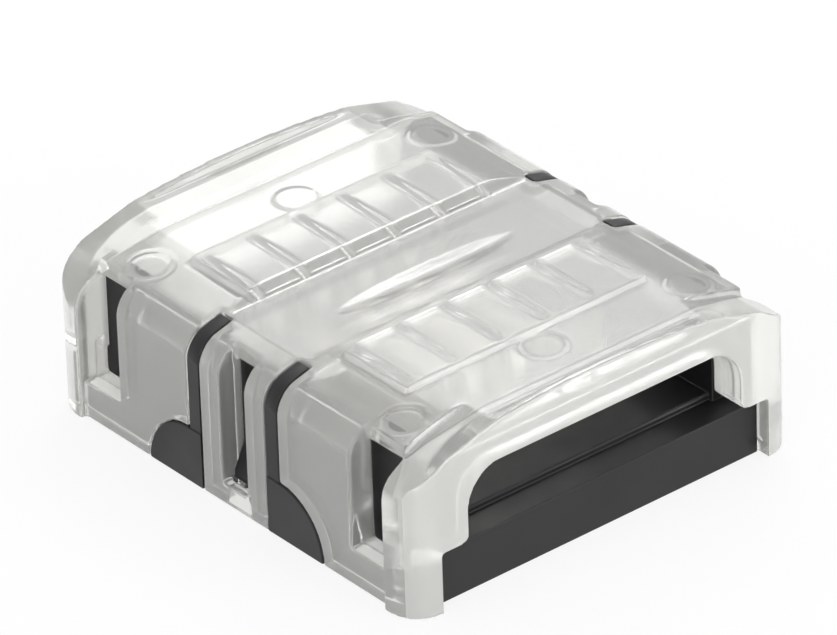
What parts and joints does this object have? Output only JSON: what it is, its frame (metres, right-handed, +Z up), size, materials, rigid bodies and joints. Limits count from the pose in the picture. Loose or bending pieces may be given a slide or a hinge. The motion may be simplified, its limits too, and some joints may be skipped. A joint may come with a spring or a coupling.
{
  "type": "led strip connector",
  "caption": "Snap-together connector that joins two ends of LED strip: a clear moulded cover over a black base, with piercing contacts between them",
  "frame": {"origin": "centre of the underside, on the surface that the connector rests on", "axes": "X across the strip, Y along the strip from one entry to the other, Z up through the cover"},
  "size_m": [0.0174, 0.0198, 0.0069],
  "materials": {
    "clear_cover": "polished mould, clear with a slight haze",
    "black_base": "fine satin mould texture",
    "contact_metal": "stamped, tin plated"
  },
  "bodies": {
    "base_body": {"base": "black_base", "contact_1": "contact_metal", "contact_2": "contact_metal", "contact_3": "contact_metal", "contact_4": "contact_metal", "contact_5": "contact_metal"},
    "cover_body": {"cover": "clear_cover"}
  },
  "joints": [
    {"name": "cover_lift", "type": "slide", "parent": "base_body", "child": "cover_body", "axis": [0, 0, 1], "range_m": [0, 0.007]}
  ]
}
